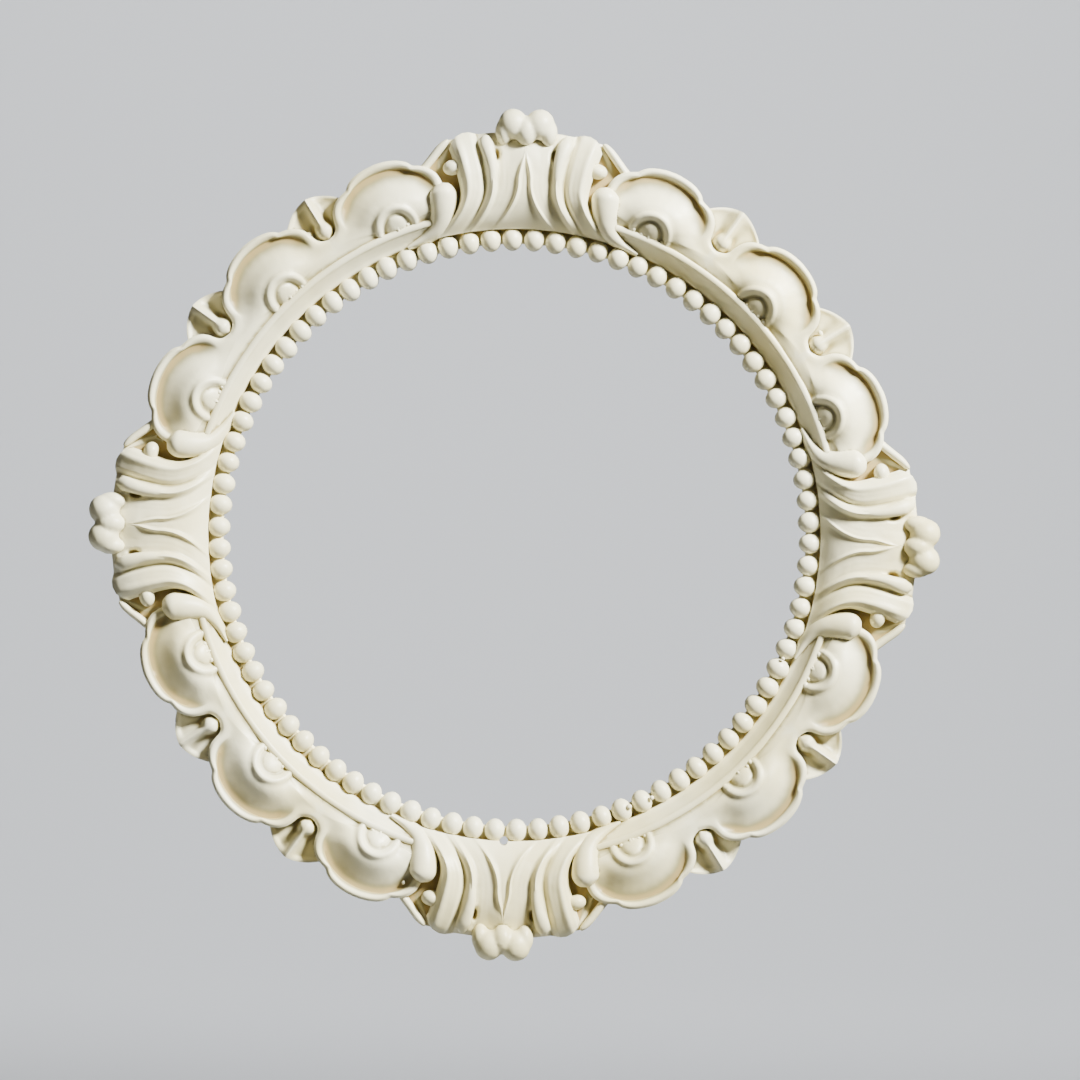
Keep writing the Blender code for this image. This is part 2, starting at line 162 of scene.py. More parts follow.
def vertexNormals(mesh):
    normals = np.zeros(len(mesh.vertices) * 3)
    mesh.vertices.foreach_get("normal", normals)
    return normals.reshape(-1, 3)


# Turns strip millimetres into metres on the ring
def wrap(piece, degrees):
    co = coordinates(piece.data)
    angle = math.radians(degrees) + co[:, 0] / wrapRadius
    radius = (ridgeLine + co[:, 1]) * mm
    co = np.stack([radius * np.sin(angle), -co[:, 2] * mm, radius * np.cos(angle)], 1)
    piece.data.vertices.foreach_set("co", co.ravel())


ornaments = bpy.data.collections.new("ornaments")
bpy.context.scene.collection.children.link(ornaments)


# Wears the relief down a little; the outline stays
def wear(piece, rounds):
    pick(piece)
    bpy.ops.object.mode_set(mode="EDIT")
    bpy.ops.mesh.select_all(action="SELECT")
    bpy.ops.mesh.remove_doubles(threshold=weld)
    bpy.ops.mesh.vertices_smooth(factor=0.5, repeat=rounds, xaxis=False, yaxis=False)
    bpy.ops.object.mode_set(mode="OBJECT")


# Joins wrapped pieces into one ornament
def gather(name, pieces):
    joined = pick(*pieces)
    bpy.ops.object.join()
    joined.name = name
    bpy.context.scene.collection.objects.unlink(joined)
    ornaments.objects.link(joined)
    return joined


# Copies of a strip ornament round the ring, joined into one object
def castRound(piece, name, angles, vary=None):
    copies = []
    for degrees in angles:
        one = copied(piece)
        if vary:
            vary(one)
        wrap(one, degrees)
        copies.append(one)
    bpy.data.objects.remove(piece)
    return gather(name, copies)


quarters = [0, 90, 180, 270]
bays = [45, 135, 225, 315]
leafAngles = [bay + side * lobeSpan / 2 for bay in bays for side in (-1, 1)]


# Bead strip, hollow band and ridge
band = {
    "stripInner": beadCircle - 1.1,
    "stripHeight": 1.7,
    "stripRound": 0.5,
    "overlap": 0.2,  # of strip and band
    "edge": 0.4,  # rounding of its inner edge
    "footHeight": 3.7,
    "coveTop": 6.7,
    "coveSteps": 9,
    "coveBow": 1.35,
    "ridgeRise": 0.65,
    "ridgeSteps": 9,
    "crevice": 5.7,
}


def makeBand():
    inner = band["stripInner"]
    points = [
        (inner, -belowBack),
        (inner, band["stripHeight"] - band["stripRound"]),
        (inner + band["stripRound"], band["stripHeight"]),
        (bandInner - band["overlap"], band["stripHeight"]),
        (bandInner, band["footHeight"] - band["edge"]),
    ]
    crevice = ridgeLine - ring["setBack"]
    coveEnd = crevice - ring["ridgeWidth"]
    for step in range(band["coveSteps"] + 1):
        share = step / band["coveSteps"]
        height = mix(band["footHeight"], band["coveTop"], share ** band["coveBow"])
        points.append((mix(bandInner + band["edge"], coveEnd, share), height))
    centre = crevice - ring["ridgeWidth"] / 2
    for step in range(1, band["ridgeSteps"]):  # rounded ridge
        turn = math.pi * step / band["ridgeSteps"]
        height = band["coveTop"] + band["ridgeRise"] * math.sin(turn)
        points.append((centre - math.cos(turn) * ring["ridgeWidth"] / 2, height))
    points.append((crevice, band["crevice"]))
    points.append((ridgeLine, band["crevice"]))
    points.append((ridgeLine, -belowBack))
    mesh = bpy.data.meshes.new("castFrame")
    edges = [(i, (i + 1) % len(points)) for i in range(len(points))]
    mesh.from_pydata([(x * mm, -z * mm, 0) for x, z in points], edges, [])
    piece = bpy.data.objects.new("castFrame", mesh)
    bpy.context.scene.collection.objects.link(piece)
    pick(piece)
    bpy.ops.object.mode_set(mode="EDIT")
    bpy.ops.mesh.select_all(action="SELECT")
    bpy.ops.mesh.spin(
        steps=ring["steps"], angle=2 * math.pi, center=(0, 0, 0), axis=(0, 1, 0)
    )
    bpy.ops.mesh.select_all(action="SELECT")
    bpy.ops.mesh.remove_doubles(threshold=0.01 * mm)
    bpy.ops.mesh.normals_make_consistent(inside=False)
    bpy.ops.object.mode_set(mode="OBJECT")
    return piece


casting = makeBand()
print("band done")

# Beads
beads = {
    "centreHeight": 2.6,
    "segments": 18,
    "rings": 8,
    "size": 0.985,
    "widen": 1.03,  # along the ring
    "deepen": 1.16,  # across it
    "sizeVaries": 0.03,
    "placeVaries": 0.12,
    "acrossShare": 0.6,  # of it, across the ring
    "heightVaries": 0.02,
}


def makeBeads():
    deselectAll()
    bpy.ops.mesh.primitive_uv_sphere_add(
        segments=beads["segments"],
        ring_count=beads["rings"],
        radius=ring["beadRadius"],
        location=(0, beadCircle - ridgeLine, beads["centreHeight"]),
    )
    bead = bpy.context.object
    bpy.ops.object.transform_apply(location=True)
    bpy.ops.object.mode_set(mode="EDIT")
    bpy.ops.mesh.bisect(
        plane_co=(0, 0, beads["centreHeight"]), plane_no=(0, 0, 1), clear_inner=True
    )
    bpy.ops.object.mode_set(mode="OBJECT")
    standOnBack(bead)
    chance = random.Random(11)
    middle = beadCircle - ridgeLine

    def vary(one):
        size = beads["size"] + chance.uniform(-1, 1) * beads["sizeVaries"]
        shift = [chance.uniform(-1, 1) * beads["placeVaries"] for _ in range(2)]
        co = coordinates(one.data)
        co[:, 0] = co[:, 0] * size * beads["widen"] * wrapRadius / beadCircle + shift[0]
        acrossShift = shift[1] * beads["acrossShare"]
        co[:, 1] = middle + (co[:, 1] - middle) * size * beads["deepen"] + acrossShift
        top = co[:, 2] > 0
        co[top, 2] *= 1 + chance.uniform(-1, 1) * beads["heightVaries"]
        one.data.vertices.foreach_set("co", co.ravel())

    angles = [360 * (i + 0.5) / ring["beadCount"] for i in range(ring["beadCount"])]
    return castRound(bead, "beads", angles, vary)


makeBeads()
print("beads done")

# Shell lobes
lobe = {
    # the rim, with y measured from the foot of the lobes
    "bulgeWidth": 0.43,  # share of the half pitch
    "bulgeRise": 3.4,
    "cuspY": 14.1,
    "flankWidth": 0.335,
    "loopY": 8.3,
    "loopDrop": 3.5,
    "rimHalf": 1.0,
    "rimCrest": 8.3,
    "loopCrest": 7.8,
    "rimDrop": 0.9,
    "rimRound": 0.8,
    "rimFall": 2.2,
    "loopFrom": 0.45,  # share of the rim where its crest starts to fall to the loop's
    "loopTo": 0.9,
    # edge of the pillow: the groove inside the rim
    "dishTop": 15.9,
    "dishSide": 13.0,
    "dishY": 6.4,
    "dishLow": 3.4,
    "cuspTurn": 50,
    "groove": 6.5,
    "grooveFrom": 0.5,  # share of the rim where the groove starts to run out
    "grooveTo": 0.85,
    "loopDip": 0.1,
    # the pillow
    "foot": 6.5,
    "sunkFoot": 6.7,
    "sunkShare": 0.3,  # of the ridge's width
    "seam": 0.001,
    "rise": 4.0,
    "crestY": 8.0,
    "fallFrom": 0.38,
    # the eye
    "eyeY": 0.1,
    "bossWidth": 3.3,
    "bossDepth": 3.8,
    "bossRise": 1.0,
    "ringRadius": 5.5,
    "ringHalf": 1.2,
    "ringRise": 0.95,
    "moat": 0.45,  # between boss and ring
    "outsideMoat": 0.3,
    "moatWidth": 0.9,
    "eyeMargin": 0.4,
    # beside the cartouches, where the curls cover the lobes
    "endDrop": 2.8,
    "endFrom": 2.80,  # in half pitches
    "endTo": 2.92,
    "bulgeSteps": 14,
    "flankSteps": 14,
    "loopSteps": 8,
    "seamSteps": 3,
    "lineRounds": 2,
    "wearRounds": 3,
    "eyeRows": 17,
    "pillowRows": 10,
    "rimRows": 7,
}


def arc(centreX, centreY, width, height, start, end, steps):
    points = []
    for step in range(steps + 1):
        turn = math.radians(mix(start, end, step / steps))
        points.append((centreX + width * math.cos(turn), centreY + height * math.sin(turn)))
    return points


# The rim's middle line down one side, from the top of the bulge to the foot of the loop
def rimLine():
    cuspX = lobe["bulgeWidth"] * halfPitch
    flank = lobe["flankWidth"] * halfPitch
    loopWidth = halfPitch - cuspX - flank
    rise = lobe["cuspY"] - lobe["loopY"]
    points = arc(0, lobe["cuspY"], cuspX, lobe["bulgeRise"], 90, 0, lobe["bulgeSteps"])
    points += arc(cuspX, lobe["loopY"], flank, rise, 90, 0, lobe["flankSteps"])[1:]
    points += arc(
        halfPitch, lobe["loopY"], loopWidth, lobe["loopDrop"], 180, 270, lobe["loopSteps"]
    )[1:]
    return points


# The smooth edge of the pillow, point for point beside the rim's middle line
def dishLine():
    side, middle, cusp = lobe["dishSide"], lobe["dishY"], lobe["cuspTurn"]
    height = lobe["dishTop"] - middle
    points = arc(0, middle, side, height, 90, cusp, lobe["bulgeSteps"])
    points += arc(0, middle, side, height, cusp, 0, lobe["flankSteps"])[1:]
    points += arc(
        halfPitch, middle, halfPitch - side, middle - lobe["dishLow"], 180, 270, lobe["loopSteps"]
    )[1:]
    return points


# Rounds the corners of a line, whose ends stay
def soften(points, rounds):
    for _ in range(rounds):
        middles = []
        for before, point, after in zip(points, points[1:], points[2:]):
            middles.append(tuple((a + 2 * b + c) / 4 for a, b, c in zip(before, point, after)))
        points = [points[0], *middles, points[-1]]
    return points


# The line moved to its left; its direction is averaged, so that it can't fold
def outsideLine(points, distance, window=3):
    moved = []
    last = len(points) - 1
    for i, (x, y) in enumerate(points):
        low, high = max(i - window, 0), min(i + window, last)
        runX, runY = points[high][0] - points[low][0], points[high][1] - points[low][1]
        if i in (0, last):
            runX, runY = 1, 0
        length = math.hypot(runX, runY)
        moved.append((x - distance * runY / length, y + distance * runX / length))
    return soften(moved, 3)


# Ends of the spokes of half a lobe: pillow's edge, crest and outer edge of the rim, and how far
# along the rim they are
def lobeSpokes():
    crest = soften(rimLine(), lobe["lineRounds"])
    outer = outsideLine(crest, lobe["rimHalf"])
    inner = dishLine()
    spokes = []
    for i in range(len(crest)):
        spokes.append((inner[i], crest[i], outer[i], i / (len(crest) - 1)))
    for step in range(1, lobe["seamSteps"] + 1):
        corner = (halfPitch, lobe["dishLow"] * (1 - step / lobe["seamSteps"]))
        spokes.append((corner, corner, corner, 1.0))
    return spokes


# Height of the bare pillow: up from the ridge, over, and down to the groove inside the rim
def pillowHeight(y, share, endHeight):
    top = lobe["foot"] + lobe["rise"] * math.sin(math.pi / 2 * clamp(y / lobe["crestY"]))
    beyond = clamp((share - lobe["fallFrom"]) / (1 - lobe["fallFrom"]))
    return mix(top, endHeight, 0.5 - 0.5 * math.cos(math.pi * beyond))


# What the half boss, its moat and the half ring add
def eyeHeight(x, y):
    y -= lobe["eyeY"]
    distance = math.hypot(x, y)
    boss = math.hypot(x / lobe["bossWidth"], y / lobe["bossDepth"])
    if boss < 1:
        return (lobe["bossRise"] + lobe["moat"]) * math.sqrt(1 - boss**2) - lobe["moat"]
    fromRing = abs(distance - lobe["ringRadius"]) / lobe["ringHalf"]
    if fromRing < 1:
        rise = lobe["ringRise"] * math.sqrt(1 - fromRing**2)
        moat = lobe["moat"] if distance < lobe["ringRadius"] else lobe["outsideMoat"]
        return rise - moat * fromRing**4
    if distance < lobe["ringRadius"]:
        return -lobe["moat"]
    beyond = distance - lobe["ringRadius"] - lobe["ringHalf"]
    return -lobe["outsideMoat"] * (1 - smooth(0, lobe["moatWidth"], beyond))


# Height at the pillow's edge: the groove, which runs out towards the seam between two lobes
def edgeHeight(spoke):
    inner, _, outer, rimShare = spoke
    loopHeight = lobe["loopCrest"] - lobe["loopDip"]
    if inner == outer:  # the seam
        loopHeight = min(loopHeight, pillowHeight(inner[1], 0, 0))
    runOut = smooth(lobe["grooveFrom"], lobe["grooveTo"], rimShare)
    return mix(lobe["groove"], loopHeight, runOut)


# The rim on one spoke: up to its crest, then a little down to the outer edge
def rimPoint(spoke, share):
    inner, crest, outer, rimShare = spoke
    if inner == outer:
        return inner[0], inner[1], edgeHeight(spoke)
    toLoop = smooth(lobe["loopFrom"], lobe["loopTo"], rimShare)
    top = mix(lobe["rimCrest"], lobe["loopCrest"], toLoop)
    if share < 0.5:
        start, end, beyond = inner, crest, share * 2
        rise = math.sin(math.pi / 2 * beyond) ** lobe["rimRound"]
        z = mix(edgeHeight(spoke), top, rise)
    else:
        start, end, beyond = crest, outer, share * 2 - 1
        z = top - lobe["rimDrop"] * beyond ** lobe["rimFall"]
    return mix(start[0], end[0], beyond), mix(start[1], end[1], beyond), z


# Three lobes in a row on a fan of spokes: the rows run from the foot through eye and pillow to the
# outer edge of the rim
def makeLobes():
    half = lobeSpokes()
    spokes = [tuple((-p[0], p[1]) for p in spoke[:3]) + (spoke[3],) for spoke in reversed(half)]
    spokes += half[1:]
    eyeRows = lobe["eyeRows"]
    innerRows = eyeRows + lobe["pillowRows"]
    rows = innerRows + lobe["rimRows"]
    eyeReach = lobe["ringRadius"] + lobe["ringHalf"] + lobe["eyeMargin"]

    def place(u, v):
        spoke = spokes[round(u * (len(spokes) - 1))]
        row = round(v * rows)
        if row < innerRows:
            inner = spoke[0]
            reach = math.hypot(*inner)
            if row <= eyeRows:
                distance = eyeReach * row / eyeRows
            else:
                distance = mix(eyeReach, reach, (row - eyeRows) / lobe["pillowRows"])
            share = distance / reach
            x, y = inner[0] * share, inner[1] * share
            z = pillowHeight(y, share, edgeHeight(spoke)) + eyeHeight(x, y)
        else:
            x, y, z = rimPoint(spoke, (row - innerRows) / lobe["rimRows"])
        if y < lobe["seam"]:  # the foot is sunk into the ridge
            y = -lobe["sunkShare"] * ring["ridgeWidth"]
            z = min(z, lobe["sunkFoot"])
        return x, y - ring["setBack"], z

    one = sheet("lobe", len(spokes) - 1, rows, place)
    three = [one]
    for shift in (-1, 1):
        other = copied(one)
        other.data.transform(Matrix.Translation((shift * 2 * halfPitch, 0, 0)))
        three.append(other)
    pick(*three)
    bpy.ops.object.join()
    wear(one, lobe["wearRounds"])
    for vert in one.data.vertices:
        fromMiddle = abs(vert.co.x) / halfPitch
        vert.co.z -= lobe["endDrop"] * smooth(lobe["endFrom"], lobe["endTo"], fromMiddle)
    standOnBack(one)
    return castRound(one, "shellLobes", bays)


makeLobes()
print("lobes done")

# Leaves between the lobes
leaf = {
    "lowY": 4.0,
    "shoulderY": 13.6,
    "tipY": 17.4,
    "halfWidth": 7.4,
    "neckWidth": 4.2,
    "fold": 6.2,  # heights of the middle, the valleys beside it and the side edges
    "valley": 4.3,
    "side": 5.2,
    "valleyAt": 0.4,  # share of the half width
    "lip": 0.6,
    "lipAlong": (0.86, 0.96),
    "lipAcross": (0.1, 0.3),
    "ribHalf": 1.1,  # at the tip; it widens down to the knob
    "ribRise": 0.9,
    "knobY": 7.6,
    "knobHalf": 1.9,
    "knobRise": 2.7,
    "ribSwell": 1.3,
    "footDrop": 0.9,
    "belowKnob": (0.5, 2.5),
    "ballHalf": 2.3,
    "ballTop": 8.7,
    "tipBow": 1.8,
    "widening": (5, 13.4),
    "edgeDrop": 0.5,
    "edgeFrom": 0.985,
    "wearRounds": 3,
    "columns": 36,
    "rows": 28,
}


def makeLeaves():
    def place(u, v):
        side = u * 2 - 1
        across = abs(side)
        topY = mix(leaf["tipY"], leaf["shoulderY"], across ** leaf["tipBow"])
        y = mix(leaf["lowY"], topY, v)
        x = side * mix(leaf["neckWidth"], leaf["halfWidth"], smooth(*leaf["widening"], y))
        z = mix(leaf["fold"], leaf["valley"], smooth(0, leaf["valleyAt"], across))
        z = mix(z, leaf["side"], smooth(leaf["valleyAt"], 1, across))
        z += leaf["lip"] * smooth(*leaf["lipAlong"], v) * smooth(*leaf["lipAcross"], across)
        down = clamp((leaf["tipY"] - y) / (leaf["tipY"] - leaf["knobY"]))
        half = mix(leaf["ribHalf"], leaf["knobHalf"], down**2)
        fromRib = math.hypot(x, min(y - leaf["knobY"], 0)) / half
        if fromRib < 1:  # the rib and its knob are one soft drop
            rise = mix(leaf["ribRise"], leaf["knobRise"], down ** leaf["ribSwell"])
            z += rise * (1 - fromRib**2)
        z -= leaf["footDrop"] * smooth(*leaf["belowKnob"], leaf["knobY"] - y)
        fromBall = math.hypot(x, y - leaf["knobY"]) / leaf["ballHalf"]
        if fromBall < 1:
            z = max(z, leaf["ballTop"] - leaf["ballHalf"] * (1 - math.sqrt(1 - fromBall**2)))
        z -= leaf["edgeDrop"] * smooth(leaf["edgeFrom"], 1, v)
        return x, y, z

    one = sheet("leaf", leaf["columns"], leaf["rows"], place)
    wear(one, leaf["wearRounds"])
    standOnBack(one)
    return castRound(one, "leaves", leafAngles)


makeLeaves()
print("leaves done")

# Cartouches: the fan
fan = {
    "foot": 4.6,
    "crest": 10.1,
    "crestY": 7.6,
    "top": 6.9,
    "reach": 19.8,
    "waistAt": 0.5,
    "topCurve": 1.5,
    "footCurve": 2.2,
    "leastAngle": 0.05,
    # the flutes fade towards the foot and the top
    "footFlutes": 0.1,
    "fluteGrowth": 4,
    "topFlutes": 0.6,
    "topFrom": 0.85,
    "spearLines": 4,
    "spearEnd": (0.60, 0.78),  # where the spear runs out, below the knob
    # fine streaks
    "grain": 0.176,
    "grainScale": (4.5, 2.0, 0.001),
    "grainSeed": 3.1,
    "grainFrom": (0.1, 0.3),
    # the strip behind the tip of the first rib is lower
    "ledge": 1.3,
    "ledgeStart": (4.9, 5.6),  # degrees
    "ledgeEnd": (7.2, 7.7),
    "ledgeFrom": (0.92, 0.95),
    "edgeDrop": 0.6,
    "edgeFrom": 0.96,
    "wearRounds": 2,
    "rows": 43,
    "columnsPerLine": 4,
}
# The drilled oval beside the first rib
drill = {
    "angle": 4.35,
    "y": 13.4,
    "width": 0.85,
    "depth": 1.6,
    "deep": 2.8,
    "edge": (0.5, 1.15),
}
# One side, from the spear outwards: degrees at the top, waist and foot, reach, lift
fanLines = (
    (0.0, 0.0, 0.0, 0.985, -0.30),
    (-1.7, 0.50, 4.3, 0.985, -0.30),
    (-1.7, 0.95, 5.6, 0.985, 0.70),
    (-1.2, 1.45, 6.4, 0.985, -0.45),
    (1.7, 2.4, 7.5, 0.985, -0.65),
    (3.3, 3.3, 8.5, 0.985, -0.85),
    (4.6, 4.15, 9.1, 0.985, -0.95),
    (6.1, 5.1, 9.9, 0.98, 0.95),
    (6.9, 5.7, 10.7, 0.98, 0.20),
    (7.4, 6.4, 11.6, 0.995, -1.25),
    (8.2, 7.3, 12.6, 1.015, -0.20),
    (9.1, 8.2, 13.6, 1.015, 0.15),
    (10.1, 9.2, 15.0, 0.975, 0.80),
    (10.8, 10.0, 16.2, 0.91, -0.30),
    (11.3, 10.6, 17.4, 0.82, -2.40),
)


# Height of the fan without its flutes
def fanArch(y):
    if y < fan["crestY"]:
        share = (fan["crestY"] - y) / (fan["crestY"] - footY)
        return fan["crest"] - (fan["crest"] - fan["foot"]) * share**3
    share = (y - fan["crestY"]) / (fan["reach"] - fan["crestY"])
    return fan["crest"] - (fan["crest"] - fan["top"]) * share**2


# Angle, y and lift of a fan line, where line may fall between two of them
def fanPlace(line, v):
    low = min(int(line), len(fanLines) - 2)
    share = line - low
    first, second = fanLines[low], fanLines[low + 1]
    top, waist, foot, reach = (mix(a, b, share) for a, b in zip(first[:4], second[:4]))
    lift = mix(first[4], second[4], smooth(0, 1, share))
    if v > fan["waistAt"]:
        beyond = (v - fan["waistAt"]) / (1 - fan["waistAt"])
        angle = waist + (top - waist) * beyond ** fan["topCurve"]
    else:
        beyond = (fan["waistAt"] - v) / fan["waistAt"]
        angle = waist + (foot - waist) * beyond ** fan["footCurve"]
    angle = max(angle, fan["leastAngle"] * line)
    return angle, mix(footY, fan["reach"] * reach, v), lift


# Columns follow the fan lines, with the flutes as rises and falls between them
def makeFans():
    perSide = (len(fanLines) - 1) * fan["columnsPerLine"]
    scaleAcross, scaleAlong, perColumn = fan["grainScale"]

    def place(u, v):
        column = round((u * 2 - 1) * perSide)
        line = abs(column) / fan["columnsPerLine"]
        angle, y, lift = fanPlace(line, v)
        fade = clamp(v * fan["fluteGrowth"] + fan["footFlutes"])
        fade *= mix(1, fan["topFlutes"], smooth(fan["topFrom"], 1, v))
        if line < fan["spearLines"]:
            left = 1 - smooth(*fan["spearEnd"], v)
            fade *= mix(left, 1, smooth(fan["spearLines"] - 1, fan["spearLines"], line))
        z = fanArch(y) + lift * fade
        seed = fan["grainSeed"] + column * perColumn
        grain = noise.noise((line * scaleAcross, v * scaleAlong, seed))
        z += fan["grain"] * grain * smooth(*fan["grainFrom"], v)
        x = along(angle)
        acrossHole = (x - along(drill["angle"])) / drill["width"]
        away = math.hypot(acrossHole, (y - drill["y"]) / drill["depth"])
        z -= drill["deep"] * (1 - smooth(*drill["edge"], away))
        behindTip = smooth(*fan["ledgeStart"], angle) * (1 - smooth(*fan["ledgeEnd"], angle))
        z -= fan["ledge"] * behindTip * smooth(*fan["ledgeFrom"], v)
        z -= fan["edgeDrop"] * smooth(fan["edgeFrom"], 1, v)
        return math.copysign(x, column) if column else 0.0, y, z

    one = sheet("fan", 2 * perSide, fan["rows"], place)
    wear(one, fan["wearRounds"])
    standOnBack(one)
    return castRound(one, "fans", quarters)


makeFans()
print("fans done")


# Cartouches: sides
# A smooth run from b to c, with a before and d after them
def smoothRun(a, b, c, d, share):
    bend = (2 * a - 5 * b + 4 * c - d) * share**2 + (3 * b - a - 3 * c + d) * share**3
    return 0.5 * (2 * b + (c - a) * share + bend)


# A round-backed rib through (x, y, half width, crest) stations, standing on the back. Its ends are
# round, or only the first of them.
def tube(name, stations, columns, rows, roundEnd, sink):
    last = len(stations) - 1
    endShare = 0.22

    def at(v):
        low = min(int(v * last), last - 1)
        near = (stations[clamp(i, 0, last)] for i in range(low - 1, low + 3))
        return [smoothRun(*values, v * last - low) for values in zip(*near)]

    def roundness(fromEnd):
        return math.sqrt(clamp(1 - (1 - clamp(fromEnd / endShare)) ** 2))

    def place(u, v):
        if roundEnd:
            v = 0.5 - 0.5 * math.cos(math.pi * v)
        x, y, half, crest = at(clamp(v))
        before, after = at(clamp(v - 0.01)), at(clamp(v + 0.01))
        runX, runY = after[0] - before[0], after[1] - before[1]
        length = math.hypot(runX, runY)
        side = math.sin((u * 2 - 1) * math.pi / 2)
        end = roundness(v) * (roundness(1 - v) if roundEnd else 1)
        half = max(half * end, 0.02)
        z = crest - sink * (1 - math.sqrt(clamp(1 - side * side)) * mix(0.35, 1, end))
        return x - side * half * runY / length, y + side * half * runX / length, z

    return standOnBack(sheet(name, columns, rows, place))


# Wraps a strip ornament of the right side, and its mirror image, round the ring
def castBothSides(right, name):
    left = mirrored(right, name + "Left")
    castRound(right, name + "sRight", quarters)
    castRound(left, name + "sLeft", quarters)


curl = {
    # angle, y, half width, crest
    "line": (
        (13.3, 7.8, 3.0, 10.0),
        (13.4, 5.7, 3.6, 10.9),
        (13.7, 3.3, 3.8, 10.7),
        (14.2, 0.8, 3.7, 10.0),
        (15.0, -1.6, 3.4, 8.9),
        (16.4, -3.8, 2.7, 7.4),
        (18.8, -5.5, 1.7, 5.8),
        (22.0, -6.4, 0.7, 4.7),
    ),
    "sink": 3.6,
    "columns": 16,
    "rows": 28,
}


def makeCurls():
    stations = [(along(angle), y, half, crest) for angle, y, half, crest in curl["line"]]
    castBothSides(tube("curl", stations, curl["columns"], curl["rows"], False, curl["sink"]), "curl")


makeCurls()

wing = {
    "height": 4.6,
    "swell": 0.5,
    "inner": 9.0,
    "lowY": -1.0,
    # angle, y, half width, crest
    "lip": (
        (11.2, 18.9, 0.85, 7.4),
        (12.6, 17.0, 1.00, 7.4),
        (14.1, 14.7, 1.05, 7.3),
        (15.5, 12.8, 1.05, 7.2),
        (16.8, 11.6, 0.95, 7.1),
    ),
    "sink": 1.4,
    "columns": 14,
    "rows": 10,
    "lipColumns": 8,
    "lipRows": 24,
}


# A low plate between fan and lobes, with a rolled outer edge
def makeWings():
    edge = [(angle, y) for angle, y, _, _ in wing["lip"]]
    tops = [y for _, y in reversed(edge)]
    limits = [angle for angle, _ in reversed(edge)]

    def place(u, v):
        y = mix(wing["lowY"], tops[-1], v)
        x = mix(along(wing["inner"]), along(float(np.interp(y, tops, limits))), u)
        return x, y, wing["height"] + wing["swell"] * math.sin(math.pi * u) ** 2

    castBothSides(standOnBack(sheet("wing", wing["columns"], wing["rows"], place)), "wing")
    stations = [(along(angle), y, half, crest) for angle, y, half, crest in wing["lip"]]
    lip = tube("lip", stations, wing["lipColumns"], wing["lipRows"], True, wing["sink"])
    castBothSides(lip, "lip")


makeWings()


# A ball stretched to a half width, half depth and bulk, with its top at the crest height
def stretchedBall(name, x, y, crest, halfWidth, halfDepth, bulk):
    deselectAll()
    bpy.ops.mesh.primitive_uv_sphere_add(segments=24, ring_count=16, radius=1)
    piece = bpy.context.object
    piece.name = name
    for vert in piece.data.vertices:
        vert.co.x = x + vert.co.x * halfWidth
        vert.co.y = y + vert.co.y * halfDepth
        vert.co.z = crest + (vert.co.z - 1) * bulk
    return piece


# Balls run together as in a worn mould, cut off below and stood on the back
def melt(balls, voxel, rounds, cutHeight):
    piece = pick(*balls)
    if len(balls) > 1:
        bpy.ops.object.join()
    remesh = piece.modifiers.new("melt", "REMESH")
    remesh.mode = "VOXEL"
    remesh.voxel_size = voxel
    bpy.ops.object.modifier_apply(modifier="melt")
    wearing = piece.modifiers.new("soften", "SMOOTH")
    wearing.factor = 0.5
    wearing.iterations = rounds
    bpy.ops.object.modifier_apply(modifier="soften")
    bpy.ops.object.mode_set(mode="EDIT")
    bpy.ops.mesh.select_all(action="SELECT")
    bpy.ops.mesh.bisect(plane_co=(0, 0, cutHeight), plane_no=(0, 0, 1), clear_inner=True)
    bpy.ops.object.mode_set(mode="OBJECT")
    return standOnBack(piece)


tip = {
    # angle, y, half width, height above the fan
    "line": (
        (5.80, 19.0, 1.40, 1.2),
        (5.85, 17.0, 1.75, 1.5),
        (5.60, 14.6, 1.70, 1.5),
        (5.30, 12.0, 1.50, 1.30),
        (5.15, 9.0, 1.35, 1.05),
        (5.25, 6.0, 1.20, 0.70),
        (5.60, 3.0, 1.00, 0.10),
        (6.40, 0.5, 0.80, -0.60),
    ),
    "sink": 1.7,
    "columns": 10,
    "rows": 36,
}


def makeTips():
    stations = [
        (along(angle), y, half, fanArch(y) + rise) for angle, y, half, rise in tip["line"]
    ]
    castBothSides(tube("tip", stations, tip["columns"], tip["rows"], False, tip["sink"]), "tip")


makeTips()

knob = {
    # x, y, crest, half width, half depth, bulk
    "scroll": (0.0, 19.6, 11.6, 2.6, 4.0, 3.6),
    "lobe": (3.1, 21.5, 11.5, 3.4, 4.2, 3.9),
    "petal": (5.3, 19.4, 10.3, 2.0, 3.7, 3.2),
    "voxel": 0.42,
    "rounds": 7,
    "cut": 7.4,
}
pearl = {
    "angle": 11.2,
    "y": 11.3,
    "crest": 9.3,
    "size": (2.6, 2.1, 2.6),  # half width, half depth, bulk
    "voxel": 0.3,
    "rounds": 1,
    "cut": 6.6,
}


def makeKnobs():
    balls = [stretchedBall("knob", *knob["scroll"])]
    for kind in ("lobe", "petal"):
        x, *rest = knob[kind]
        balls.append(stretchedBall(kind, x, *rest))
        balls.append(stretchedBall(kind, -x, *rest))
    castRound(melt(balls, knob["voxel"], knob["rounds"], knob["cut"]), "knobs", quarters)
    place = (along(pearl["angle"]), pearl["y"], pearl["crest"])
    ball = stretchedBall("pearl", *place, *pearl["size"])
    castBothSides(melt([ball], pearl["voxel"], pearl["rounds"], pearl["cut"]), "pearl")


makeKnobs()
print("cartouches done")


